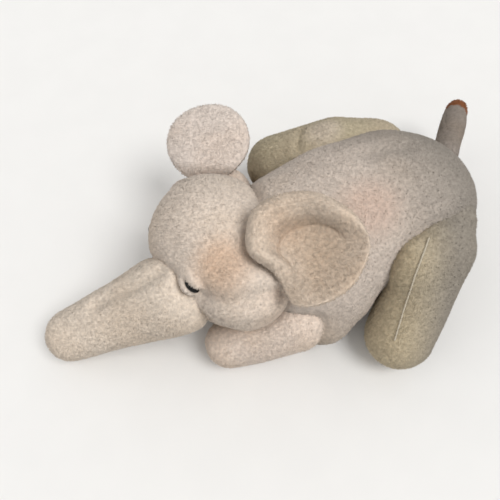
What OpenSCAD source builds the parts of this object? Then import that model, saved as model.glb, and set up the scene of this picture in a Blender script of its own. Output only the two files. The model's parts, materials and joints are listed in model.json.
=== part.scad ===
// Limp stuffed elephant lying on its belly, head to -X, its left side to -Y.
// Sewn fabric panels around stuffing; every limb is a ball sewn into a socket.
// Millimetres. Origin: on the table, under the fullest place of the torso.

/* [Torso] */
// Radius of the chest end of the torso
chest_r = 39; // [36:0.5:42]
// Radius of the torso at its fullest place
belly_r = 41; // [38:0.5:44]
// Radius of the rump end of the torso
rump_r = 38.5; // [36:0.5:41]
// From the fullest place forward to the middle of the chest
chest_reach = 22; // [19:0.5:25]
// From the fullest place back to the middle of the rump
rump_reach = 26; // [23:0.5:29]
// How far the belly is pressed flat by the table
belly_squash = 5; // [3:0.5:6]
// Height of the seam around the belly panel
belly_seam_h = 18; // [12:0.5:22]

/* [Head] */
// Radius of the head ball
head_r = 33.5; // [31:0.5:36]
// How deep the head is pressed onto the chest
neck_sink = 37.5; // [34:0.5:40]
// How far the head lolls to the right of the torso's middle
head_side = 15; // [12:0.5:17]
// How far the chin lies above the table, held up by the chest
chin_h = 10.5; // [8:0.5:14]

/* [Trunk] */
// Radius of the trunk at its root
trunk_root_r = 19.5; // [17:0.5:21]
// Radius of the trunk half way
trunk_mid_r = 15.5; // [13:0.5:17]
// Radius of the trunk tip
trunk_tip_r = 12.5; // [10:0.5:14]
// From the root to the half way place
trunk_mid_at = 27; // [22:1:32]
// From the root to the middle of the rounded tip
trunk_len = 55; // [48:1:65]
// How deep the root ball is set into the face
trunk_sink = 3.5; // [2:0.5:6]
// Direction of the root on the face, degrees from ahead to the left
trunk_root_az = 12; // [5:1:20]
// Direction of the root on the face, degrees below level
trunk_root_drop = 19; // [12:1:25]
// Direction in which the trunk lies, degrees from ahead to the left
trunk_az = -15; // [-20:1:0]

/* [Ears] */
// Radius of the left ear, laid open over the shoulder
left_ear_r = 24.5; // [22:0.5:28]
// Radius of the right ear, standing out from the head
right_ear_r = 20; // [18:0.5:24]
// Thickness of the back layer of an ear
ear_back_t = 2; // [1.5:0.1:3]
// Thickness of the front layer of an ear
ear_front_t = 1.6; // [1:0.1:2.5]
// Radius of the hollow of an ear
ear_dish_r = 70; // [55:1:110]
// Radius of the padded rim of an ear
ear_rim_r = 2.6; // [2:0.1:3.5]
// Radius of the sewn root roll of an ear
ear_roll_r = 3.2; // [2.6:0.1:4]
// Length of the sewn root roll of an ear
ear_root_len = 22; // [16:0.5:26]

/* [Eyes] */
// Radius of an eye button
eye_r = 3.2; // [2.5:0.1:4]
// Radius of the stem of an eye
eye_stem_r = 1.2; // [0.8:0.1:1.6]
// Length of the stem of an eye under the fabric
eye_stem_len = 6; // [5:0.5:9]
// Radius of the lock washer behind the fabric
washer_r = 3.6; // [3:0.1:4.5]
// Thickness of the lock washer
washer_t = 1.2; // [0.8:0.1:1.6]

/* [Hind legs] */
// Radius of the hip ball
hip_r = 20; // [19:0.5:20.5]
// Radius of the thigh
thigh_r = 19; // [18:0.5:19.5]
// Radius of the hind foot
foot_r = 17; // [14:0.5:18.5]
// From the hip to the fullest place of the thigh
thigh_at = 12; // [8:0.5:16]
// From the hip to the middle of the foot
hind_leg_len = 46; // [42:1:52]
// How far the left hip ball stands out of the rump, below zero when sunk
left_hip_stand = -5.5; // [-7:0.5:-4]
// How far the right hip ball stands out of the rump, below zero when sunk
right_hip_stand = -8.5; // [-10:0.5:-6]
// How far the right hind foot is held off the table, tucked along the flank
right_foot_lift = 18.5; // [16:0.5:25]

/* [Front legs] */
// Radius of the shoulder ball
shoulder_r = 15; // [13:0.5:16]
// Radius of the front leg half way
forearm_r = 13; // [11.5:0.5:14]
// Radius of the front foot
paw_r = 12.5; // [10:0.5:13]
// From the shoulder to the half way place
forearm_at = 20; // [14:0.5:24]
// From the shoulder to the middle of the front foot
front_leg_len = 50; // [44:1:54]
// How far the shoulder ball stands out of the chest, below zero when sunk
shoulder_stand = -4; // [-6:0.5:-2]

/* [Tail] */
// Radius of the ball at the tail root
tail_root_r = 7; // [6:0.25:8]
// Radius of the tail strip
tail_r = 5.75; // [4.5:0.25:6.25]
// From the root to the middle of the rounded end
tail_len = 46; // [38:1:60]
// Length of the dark tuft at the end
tail_tuft_len = 9; // [6:0.5:16]
// How far the tail root stands out of the rump
tail_stand = 3; // [2:0.25:4]

/* [Fabric] */
// Thickness of the pile fabric
fabric_t = 2; // [1.5:0.1:2.5]
// Room between the fabric and the stuffing
ease = 0.3; // [0.1:0.05:0.5]
// Room at a seam between two panels
seam_gap = 0.2; // [0.1:0.05:0.4]
// Room around every sewn ball and root
joint_gap = 0.4; // [0.3:0.05:0.6]
// Room between a leg and the flank that it swings past
flank_gap = 0.9; // [0.6:0.1:1.4]
// The same for the left hind leg, whose hip is drawn up on the rump
haunch_gap = 3.6; // [3.2:0.1:4.2]
// How far a foot or the trunk tip is pressed flat by the table
foot_squash = 0.6; // [0.5:0.1:2]

/* [Hidden] */
$fn = 48;

// Colours read from the toy
cream = "#dccab4";
peach = "#d8b898";
shaded_cream = "#c3b59a";
wadding = "#f2efe6";
brown = "#6b4a33";
black = "#0b0a09";
white = "#e8e8e4";

// Larger than the whole toy, for cutting away one side
beyond = 6 * (belly_r + chest_reach + rump_reach);
// Turns the closing line of each round form away from the seams
seam_turn = 86;
// The same for the head
head_turn = 25;
// Room between a limb's swell and its own socket
swell_gap = joint_gap / 2;
// How far a taper lies inside the balls that it joins
taper_inset = 0.05;

// Growth of a form at the outside of the fabric, its inside and the stuffing
skin = 0;
lining = -fabric_t;
filling = -fabric_t - ease;

// Direction in degrees from ahead (-X) to the left (-Y), and up
function heading(az, el) = [-cos(el) * cos(az), -cos(el) * sin(az), sin(el)];
// Slope that brings the end of a limb down to its resting height
function slope(from_h, to_h, reach) = asin((to_h - from_h) / reach);

// Torso
torso_h = belly_r - belly_squash;
chest_c = [-chest_reach, 0, torso_h];
rump_c = [rump_reach, 0, torso_h];

// Head and trunk
head_c = [-(chest_reach + chest_r + head_r - neck_sink), head_side, head_r + chin_h];
trunk_c = head_c + (head_r - trunk_sink) * heading(trunk_root_az, -trunk_root_drop);
trunk_el = slope(trunk_c.z, trunk_tip_r - foot_squash, trunk_len);

// Ears: side, place on the head, then turn, tilt and lift of the disc
ear_az = [104, -107];
ear_el = [52, 16];
ear_turn = [-34, 56];
ear_tilt = [16, -7];
ear_lift = [20, 19];
ear_r = [left_ear_r, right_ear_r];
function ear_c(i) = head_c + (head_r + ear_roll_r / 2) * heading(ear_az[i], ear_el[i]);

// Eyes, left and right
eye_az = [44, -50];
eye_el = [33, -2];

// Legs: left front, right front, left hind, right hind
leg_side = [1, -1, 1, -1];
shoulder_az = 101;
shoulder_el = -33;
hip_az = [97, 113];
hip_el = [18, -6];
hip_stand = [left_hip_stand, right_hip_stand];
leg_az = [-11, -46, 44, -37];
function front(i) = i < 2;
function leg_c(i) = front(i)
  ? chest_c + (chest_r + shoulder_stand) * heading(leg_side[i] * shoulder_az, shoulder_el)
  : rump_c + (rump_r + hip_stand[i - 2]) * heading(leg_side[i] * hip_az[i - 2], hip_el[i - 2]);
function leg_ball_r(i) = front(i) ? shoulder_r : hip_r;
function leg_len(i) = front(i) ? front_leg_len : hind_leg_len;
function leg_end_r(i) = front(i) ? paw_r : foot_r;
function leg_end_h(i) = leg_end_r(i) - foot_squash + (i == 3 ? right_foot_lift : 0);
function leg_el(i) = slope(leg_c(i).z, leg_end_h(i), leg_len(i));

// Tail
tail_az = -168;
tail_el = 14;
tail_lie_az = -142;
tail_lie_el = -17;
tail_c = rump_c + (rump_r + tail_stand) * heading(tail_az, tail_el);

// Sets +X of what follows along a heading, from a point
module aim(from, az, el) {
  translate(from) rotate([0, -el, 180 + az]) children();
}

// Round stuffed form along +X: balls joined by straight tapers
module stuffed(stations, radii, grow) {
  last = len(stations) - 1;
  rotate([0, 90, 0]) rotate([0, 0, seam_turn]) rotate_extrude() intersection() {
    union() {
      for (i = [0:last]) translate([0, stations[i]]) circle(radii[i] + grow);
      for (i = [0:last - 1]) taper(stations[i], radii[i], stations[i + 1], radii[i + 1], grow);
    }
    translate([0, -beyond]) square([beyond, 2 * beyond]);
  }
}

// Half outline of the straight taper between two balls, set just inside them to cross them cleanly
module taper(at_a, r_a, at_b, r_b, grow) {
  lean = (r_a - r_b) / (at_b - at_a);
  flat = sqrt(1 - lean * lean);
  a = r_a + grow - taper_inset;
  b = r_b + grow - taper_inset;
  polygon([
    [0, at_a + a * lean], [a * flat, at_a + a * lean],
    [b * flat, at_b + b * lean], [0, at_b + b * lean]
  ]);
}

// Keeps what is above a height
module above(h) {
  intersection() {
    children();
    translate([-beyond, -beyond, h]) cube([2 * beyond, 2 * beyond, beyond]);
  }
}

// Space on one side of a plane through the origin: +1 or -1 along X, Y or Z
module side_of(axis, side, off = 0) {
  shift = side > 0 ? off : -beyond - off;
  corner = [for (k = [0:2]) k == axis ? shift : -beyond];
  size = [for (k = [0:2]) k == axis ? beyond : 2 * beyond];
  translate(corner) cube(size);
}

// Ball around a sewn root, turned so that its poles lie off the seams
module ball(at, r, turn = seam_turn) {
  translate(at) rotate([turn, turn, 0]) sphere(r);
}

// Whole torso, without its sockets
module torso_form(grow) {
  translate([0, 0, torso_h])
    stuffed([-chest_reach, 0, rump_reach], [chest_r, belly_r, rump_r], grow);
}

// Torso with its sockets, grown inwards from the outside of the fabric
module torso_body(grow) {
  difference() {
    above(-grow) torso_form(grow);
    ball(head_c, head_r + joint_gap - grow);
    for (i = [0:3]) ball(leg_c(i), leg_ball_r(i) + joint_gap - grow);
    ball(tail_c, tail_root_r + joint_gap - grow);
  }
}

// Fabric of the torso above the belly seam, on one side
module torso_side(side) {
  difference() {
    intersection() {
      torso_body(skin);
      side_of(1, side, seam_gap / 2);
      translate([0, 0, belly_seam_h]) side_of(2, 1, seam_gap / 2);
    }
    torso_body(lining);
  }
}

module torso_left_panel() { color(cream) torso_side(-1); }

module torso_right_panel() { color(shaded_cream) torso_side(1); }

module torso_belly_panel() {
  color(cream) difference() {
    intersection() {
      torso_body(skin);
      translate([0, 0, belly_seam_h]) side_of(2, -1, seam_gap / 2);
    }
    torso_body(lining);
  }
}

module torso_stuffing() { color(wadding) torso_body(filling); }

// Places its children at an ear's root: +X out along the ear, +Y along the root
module at_ear(i) {
  translate(ear_c(i)) rotate([ear_tilt[i], -ear_lift[i], ear_turn[i]]) children();
}

// Round bar along Y
module bar(r, length) {
  rotate([90, 0, 0]) cylinder(r = r, h = length, center = true);
}

// Places its children on an eye: +X out of the head
module at_eye(i) {
  aim(head_c + head_r * heading(eye_az[i], eye_el[i]), eye_az[i], eye_el[i])
    rotate([180, 0, 0]) children();
}

// Head with the trunk socket and the grooves for the ear roots
module head_body(grow) {
  difference() {
    ball(head_c, head_r + grow, head_turn);
    ball(trunk_c, trunk_root_r + joint_gap - grow, head_turn);
    for (i = [0:1]) at_ear(i)
      bar(ear_roll_r + joint_gap - grow, ear_root_len + 2 * (ear_rim_r + joint_gap - grow));
  }
}

// Fabric of the head on one side, with the hole for the eye's stem
module head_side_panel(i, side) {
  difference() {
    intersection() {
      head_body(skin);
      translate(head_c) side_of(1, side, seam_gap / 2);
    }
    head_body(lining);
    at_eye(i) rotate([0, -90, 0])
      cylinder(r = eye_stem_r + seam_gap / 2, h = 2 * eye_stem_len, center = true);
  }
}

module head_left_panel() { color(cream) head_side_panel(0, -1); }

module head_right_panel() { color(cream) head_side_panel(1, 1); }

module head_stuffing() {
  color(wadding) difference() {
    head_body(filling);
    for (i = [0:1]) at_eye(i) rotate([0, -90, 0])
      cylinder(r = washer_r + ease, h = 2 * (eye_stem_len + ease), center = true);
  }
}

// Eye button on the fabric with its stem through to the washer
module eye(i) {
  at_eye(i) rotate([0, 90, 0]) {
    intersection() {
      sphere(eye_r);
      side_of(2, 1);
    }
    translate([0, 0, -eye_stem_len]) cylinder(r = eye_stem_r, h = eye_stem_len + eye_r / 2);
  }
}

// Lock washer on the stem, close under the fabric
module eye_washer(i) {
  at_eye(i) rotate([0, 90, 0]) translate([0, 0, -fabric_t - ease - washer_t]) difference() {
    cylinder(r = washer_r, h = washer_t);
    translate([0, 0, -washer_t]) cylinder(r = eye_stem_r + seam_gap / 2, h = 3 * washer_t);
  }
}

module left_eye() { color(black) eye(0); }

module right_eye() { color(black) eye(1); }

module left_eye_washer() { color(white) eye_washer(0); }

module right_eye_washer() { color(white) eye_washer(1); }

// Head as the trunk meets it, without the trunk's own socket
module face_around_trunk(grow) {
  difference() {
    ball(head_c, head_r + joint_gap - grow, head_turn);
    ball(trunk_c, trunk_root_r + joint_gap - swell_gap + grow, head_turn);
  }
}

// Trunk, tapering from the root ball to the rounded tip
module trunk_body(grow) {
  difference() {
    above(-grow) aim(trunk_c, trunk_az, trunk_el)
      stuffed([0, trunk_mid_at, trunk_len], [trunk_root_r, trunk_mid_r, trunk_tip_r], grow);
    face_around_trunk(grow);
  }
}

// Fabric of the trunk above or below its side seams
module trunk_panel(side) {
  difference() {
    intersection() {
      trunk_body(skin);
      aim(trunk_c, trunk_az, trunk_el) side_of(2, side, seam_gap / 2);
    }
    trunk_body(lining);
  }
}

module trunk_top_panel() { color(cream) trunk_panel(1); }

module trunk_bottom_panel() { color(cream) trunk_panel(-1); }

module trunk_stuffing() { color(wadding) trunk_body(filling); }

// From an ear's root to the middle of its disc
function ear_reach(i) = sqrt(ear_r[i] * ear_r[i] - ear_root_len * ear_root_len / 4);
// Height of the middle of the ear's hollow, so that the disc meets its root
function dish_h(i) = sqrt(ear_dish_r * ear_dish_r - ear_reach(i) * ear_reach(i));

// Layer of an ear between two spheres, inside a circle
module ear_layer(i, inside, thick, r) {
  intersection() {
    translate([ear_reach(i), 0, dish_h(i)]) difference() {
      sphere(inside + thick);
      sphere(inside);
    }
    translate([ear_reach(i), 0, -ear_r[i]]) cylinder(r = r, h = 2 * ear_r[i]);
  }
}

// Padded rim of an ear
module ear_rim(i) {
  mid_r = ear_r[i] - ear_rim_r;
  rise = dish_h(i) - sqrt(ear_dish_r * ear_dish_r - mid_r * mid_r);
  translate([ear_reach(i), 0, rise]) rotate([0, 0, seam_turn])
    rotate_extrude() translate([mid_r, 0]) circle(ear_rim_r);
}

module ear_back(i) {
  at_ear(i) {
    intersection() {
      union() {
        ear_layer(i, ear_dish_r, ear_back_t, ear_r[i] - ear_rim_r);
        ear_rim(i);
      }
      side_of(0, 1);
    }
    bar(ear_roll_r, ear_root_len);
  }
}

module ear_front(i) {
  at_ear(i) intersection() {
    ear_layer(i, ear_dish_r - seam_gap - ear_front_t, ear_front_t,
      ear_r[i] - 2 * ear_rim_r - seam_gap);
    side_of(0, 1, ear_roll_r + seam_gap);
  }
}

module left_ear_front() { color(peach) ear_front(0); }

module left_ear_back() { color(cream) ear_back(0); }

module right_ear_front() { color(peach) ear_front(1); }

module right_ear_back() { color(cream) ear_back(1); }

// Torso as a leg meets it, without the leg's own socket
module flank_around_leg(i, grow) {
  difference() {
    torso_form((i == 2 ? haunch_gap : flank_gap) - grow);
    ball(leg_c(i), leg_ball_r(i) + joint_gap - swell_gap + grow);
  }
}

// Leg from its root ball to its foot, pressed in where the torso lies on it
module leg_body(i, grow) {
  stations = front(i) ? [0, forearm_at, front_leg_len] : [0, thigh_at, hind_leg_len];
  radii = front(i) ? [shoulder_r, forearm_r, paw_r] : [hip_r, thigh_r, foot_r];
  difference() {
    above(-grow) aim(leg_c(i), leg_az[i], leg_el(i)) stuffed(stations, radii, grow);
    flank_around_leg(i, grow);
  }
}

// Fabric of a leg on one side of its long seam
module leg_panel(i, side) {
  difference() {
    intersection() {
      leg_body(i, skin);
      aim(leg_c(i), leg_az[i], leg_el(i)) side_of(1, side * leg_side[i], seam_gap / 2);
    }
    leg_body(i, lining);
  }
}

module left_front_leg_outer_panel() { color(cream) leg_panel(0, 1); }

module left_front_leg_inner_panel() { color(cream) leg_panel(0, -1); }

module left_front_leg_stuffing() { color(wadding) leg_body(0, filling); }

module right_front_leg_outer_panel() { color(cream) leg_panel(1, 1); }

module right_front_leg_inner_panel() { color(cream) leg_panel(1, -1); }

module right_front_leg_stuffing() { color(wadding) leg_body(1, filling); }

module left_hind_leg_outer_panel() { color(shaded_cream) leg_panel(2, 1); }

module left_hind_leg_inner_panel() { color(shaded_cream) leg_panel(2, -1); }

module left_hind_leg_stuffing() { color(wadding) leg_body(2, filling); }

module right_hind_leg_outer_panel() { color(shaded_cream) leg_panel(3, 1); }

module right_hind_leg_inner_panel() { color(shaded_cream) leg_panel(3, -1); }

module right_hind_leg_stuffing() { color(wadding) leg_body(3, filling); }

// Tail from its root ball to its end, on one side of the tuft's seam
module tail(side) {
  aim(tail_c, tail_lie_az, tail_lie_el) intersection() {
    stuffed([0, 2 * tail_root_r, tail_len], [tail_root_r, tail_r, tail_r], skin);
    translate([tail_len + tail_r - tail_tuft_len, 0, 0]) side_of(0, side, seam_gap / 2);
  }
}

module tail_strip() { color(shaded_cream) tail(-1); }

module tail_tuft() { color(brown) tail(1); }

torso_left_panel();
torso_right_panel();
torso_belly_panel();
torso_stuffing();
head_left_panel();
head_right_panel();
head_stuffing();
trunk_top_panel();
trunk_bottom_panel();
trunk_stuffing();
left_ear_front();
left_ear_back();
right_ear_front();
right_ear_back();
left_eye();
right_eye();
left_eye_washer();
right_eye_washer();
left_front_leg_outer_panel();
left_front_leg_inner_panel();
left_front_leg_stuffing();
right_front_leg_outer_panel();
right_front_leg_inner_panel();
right_front_leg_stuffing();
left_hind_leg_outer_panel();
left_hind_leg_inner_panel();
left_hind_leg_stuffing();
right_hind_leg_outer_panel();
right_hind_leg_inner_panel();
right_hind_leg_stuffing();
tail_strip();
tail_tuft();
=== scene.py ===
"""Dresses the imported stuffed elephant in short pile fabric, with its ears, eyes and stitched seam."""

import json
import logging
import math
from collections.abc import Iterable, Sequence
from dataclasses import dataclass
from enum import Enum

import bmesh
import bpy
import numpy as np
from mathutils import Matrix, Vector, noise
from mathutils.bvhtree import BVHTree


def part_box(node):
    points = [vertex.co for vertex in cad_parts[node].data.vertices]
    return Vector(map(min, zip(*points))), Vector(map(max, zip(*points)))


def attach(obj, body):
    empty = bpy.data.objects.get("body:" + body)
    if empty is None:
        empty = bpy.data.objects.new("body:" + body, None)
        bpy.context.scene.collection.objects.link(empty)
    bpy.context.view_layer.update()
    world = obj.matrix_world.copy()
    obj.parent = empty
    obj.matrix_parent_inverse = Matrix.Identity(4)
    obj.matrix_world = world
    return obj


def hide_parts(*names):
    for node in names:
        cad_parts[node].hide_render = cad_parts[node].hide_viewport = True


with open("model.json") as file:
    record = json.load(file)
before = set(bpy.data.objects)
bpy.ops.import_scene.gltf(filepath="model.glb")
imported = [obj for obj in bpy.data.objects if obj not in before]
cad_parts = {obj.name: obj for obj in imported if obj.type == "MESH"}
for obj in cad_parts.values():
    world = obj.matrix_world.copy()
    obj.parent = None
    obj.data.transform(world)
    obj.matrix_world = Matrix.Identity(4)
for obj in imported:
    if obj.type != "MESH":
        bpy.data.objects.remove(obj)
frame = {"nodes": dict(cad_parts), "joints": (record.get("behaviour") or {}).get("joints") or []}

LOG = logging.getLogger("stuffed_elephant")
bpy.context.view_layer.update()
JOINTS = {joint["name"]: joint for joint in frame["joints"]}

Colour = tuple[float, float, float]
Pixel = tuple[float, float]
Object = bpy.types.Object
Mesh = bpy.types.Mesh
Socket = bpy.types.NodeSocket

UP = Vector((0.0, 0.0, 1.0))
# Lengths in metres. A length below the smallest counts as none.
SMALLEST = 1e-6
FAR = 0.02
PRESS_ROUND = 0.003
SEAM_PULL = 0.0011
SEAM_PULL_WIDTH = 0.0026
PILE_HIDDEN = 0.0008
PILE_NONE_BELOW = 0.0025
PILE_FULL_ABOVE = 0.0045
# Fineness of the round shapes that the pieces start from.
BALL_FINENESS = 4
STITCH_FINENESS = 2
BUTTON_SEGMENTS = 32
BUTTON_RINGS = 20
EAR_SEGMENTS = 128
EAR_RINGS = 96
TUFT_SIDES = 3
TUFT_POINTS = TUFT_SIDES + 1
# Stretches of a noise's values: where most of them lie, and a little wider.
NOISE_RANGE = (0.3, 0.7)
NOISE_WIDE = (0.2, 0.8)
# Attributes of a mesh: where the pile grows, and the direction out of the cover beneath a tuft.
GROW = "grow"
LIE = "lie"
LIE_SHARE = 0.8
MAP_MARGIN = 1.02
# Degrees over which the corners of an ear's rim are eased.
RIM_EASE = 18.0
RIM_STEP = 4.0


class FabricSlot(Enum):
    """The record's material slots for the fabrics."""

    CREAM = "cream_pile_fabric"
    GREY = "grey_pile_fabric"
    EAR_LINING = "ear_lining_fabric"
    TAIL_TIP = "tail_tip_fabric"


def joint_place(name: str) -> Vector:
    """Middle of a sewn root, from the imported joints, in metres."""
    return Vector(JOINTS[name]["pos_m"])


def joint_axis(name: str) -> Vector:
    """Direction that a sewn root turns about."""
    return Vector(JOINTS[name]["axis"]).normalized()


def middle_of(node: str) -> Vector:
    """Middle of a solid's box."""
    low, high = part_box(node)
    return (low + high) / 2


def srgb(code: str) -> Colour:
    """Scene-linear colour of a colour written as six hexadecimal digits.

    Args:
        code: Red, green and blue, two digits each.

    Returns:
        The colour as three linear numbers.
    """
    parts = [int(code[i:i + 2], 16) / 255 for i in (0, 2, 4)]
    return tuple(c / 12.92 if c <= 0.04045 else ((c + 0.055) / 1.055) ** 2.4 for c in parts)


@dataclass(frozen=True)
class PhotoCamera:
    """Camera at the photograph's viewing angle."""

    place: Vector
    target: Vector
    lens_mm: float = 39.6
    sensor_mm: float = 36.0
    side_px: int = 500
    near: float = 0.01

    def axes(self) -> tuple[Vector, Vector, Vector]:
        """Right, up and forward directions of the camera."""
        forward = (self.target - self.place).normalized()
        right = forward.cross(UP).normalized()
        return right, right.cross(forward), forward

    def build(self) -> None:
        """Makes the camera and sets it as the scene's own."""
        data = bpy.data.cameras.new("photo_camera")
        data.lens = self.lens_mm
        data.sensor_width = self.sensor_mm
        data.clip_start = self.near
        camera = bpy.data.objects.new("photo_camera", data)
        bpy.context.scene.collection.objects.link(camera)
        right, up, forward = self.axes()
        turn = Matrix((right, up, -forward)).transposed()
        camera.matrix_world = Matrix.Translation(self.place) @ turn.to_4x4()
        bpy.context.scene.camera = camera

    def look_through(self, pixel: Pixel) -> Vector:
        """Direction from the camera through a pixel of the photograph.

        Args:
            pixel: The pixel, across and down.

        Returns:
            The direction, of length one.
        """
        right, up, forward = self.axes()
        focal_px = self.lens_mm / self.sensor_mm * self.side_px
        half = self.side_px / 2
        way = forward * focal_px + right * (pixel[0] - half) - up * (pixel[1] - half)
        return way.normalized()

    def lay_on(self, obj: Object, pixels: Sequence[Pixel], steps: int = 8) -> list[Vector]:
        """Lays a line seen in the photograph on the near face of a piece.

        Args:
            obj: The piece that the line lies on.
            pixels: Corners of the line in the photograph.
            steps: Points between two corners.

        Returns:
            The points on the piece.
        """
        tree = BVHTree.FromPolygons(*polygons_of(obj.data))
        points = []
        for a, b in zip(pixels, pixels[1:]):
            for k in range(steps):
                share = k / steps
                pixel = (a[0] + (b[0] - a[0]) * share, a[1] + (b[1] - a[1]) * share)
                hit = tree.ray_cast(self.place, self.look_through(pixel))[0]
                if hit is not None:
                    points.append(hit)
        return points


CAMERA = PhotoCamera(place=Vector((-0.0972, -0.0928, 0.2673)), target=Vector((-0.0332, 0.0274, 0.0)))


def polygons_of(mesh: Mesh) -> tuple[list[Vector], list[list[int]]]:
    """Points and faces of a mesh, as a search tree takes them."""
    return [v.co.copy() for v in mesh.vertices], [list(p.vertices) for p in mesh.polygons]


def rows_of(items: bpy.types.bpy_prop_collection, field: str) -> np.ndarray:
    """Three numbers from each item of a mesh, one row each."""
    values = np.zeros(len(items) * 3, np.float32)
    items.foreach_get(field, values)
    return values.reshape(-1, 3).astype(float)


def points_of(mesh: Mesh) -> np.ndarray:
    """Places of a mesh's vertices, one row each."""
    return rows_of(mesh.vertices, "co")


def normals_of(mesh: Mesh) -> np.ndarray:
    """Directions out of a mesh at its vertices, one row each."""
    return rows_of(mesh.vertex_normals, "vector")


def set_points(mesh: Mesh, points: np.ndarray) -> None:
    """Moves a mesh's vertices to new places."""
    mesh.vertices.foreach_set("co", points.astype(np.float32).ravel())
    mesh.update()


def smoothstep(x: np.ndarray, low: float, high: float) -> np.ndarray:
    """Soft step from 0 at low to 1 at high."""
    t = np.clip((x - low) / (high - low), 0, 1)
    return t * t * (3 - 2 * t)


def distance_to_line(points: np.ndarray, line: Sequence[Vector]) -> np.ndarray:
    """Distance of each point from a line of straight stretches.

    Args:
        points: One row for each point.
        line: Corners of the line.

    Returns:
        The distances.
    """
    best = np.full(len(points), np.inf)
    for a, b in zip(line, line[1:]):
        a, b = np.array(a), np.array(b)
        along = b - a
        size = along @ along
        if size < SMALLEST ** 2:
            continue
        share = np.clip((points - a) @ along / size, 0, 1)
        best = np.minimum(best, np.linalg.norm(points - a - share[:, None] * along, axis=1))
    return best


def ringed_ball(segments: int, rings: int, place: Matrix) -> bmesh.types.BMesh:
    """Ball of radius one made of rings, with its faces in the same order in every run.

    Args:
        segments: Faces in a ring.
        rings: Rings from pole to pole.
        place: Matrix that moves, turns and stretches the ball.

    Returns:
        The ball.
    """
    ball = bmesh.new()
    bmesh.ops.create_uvsphere(ball, u_segments=segments, v_segments=rings, radius=1.0, matrix=place)
    ball.verts.index_update()
    faces = sorted(ball.faces, key=lambda face: sorted(v.index for v in face.verts))
    rank = {face: k for k, face in enumerate(faces)}
    ball.faces.sort(key=rank.get)
    return ball


def mesh_of(name: str, shape: bmesh.types.BMesh) -> Mesh:
    """Turns a finished bmesh into a smooth mesh.

    Args:
        name: Name of the mesh.
        shape: The bmesh, which is freed.

    Returns:
        The mesh.
    """
    mesh = bpy.data.meshes.new(name)
    shape.to_mesh(mesh)
    shape.free()
    shade_smooth(mesh)
    return mesh


def new_object(name: str, mesh: Mesh) -> Object:
    """Puts a mesh in the scene as an object at the origin."""
    obj = bpy.data.objects.new(name, mesh)
    bpy.context.scene.collection.objects.link(obj)
    return obj


def apply_modifiers(obj: Object) -> None:
    """Makes the object's modifiers part of its mesh."""
    bpy.context.view_layer.update()
    graph = bpy.context.evaluated_depsgraph_get()
    made = bpy.data.meshes.new_from_object(obj.evaluated_get(graph))
    old = obj.data
    obj.modifiers.clear()
    obj.data = made
    bpy.data.meshes.remove(old)


def shade_smooth(mesh: Mesh) -> None:
    """Shades every face of a mesh smooth."""
    mesh.polygons.foreach_set("use_smooth", np.ones(len(mesh.polygons), bool))


@dataclass(frozen=True)
class Patch:
    """Round soft patch of another tint on a fabric."""

    centre: Vector
    radius: float
    colour: Colour
    strength: float
    core: float = 0.25


@dataclass(frozen=True)
class Fade:
    """Tint that comes in along a direction, from one place to another; on this toy the fades are painted
    shade, in full or in part.
    """

    start: Vector
    end: Vector
    colour: Colour
    strength: float


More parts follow.
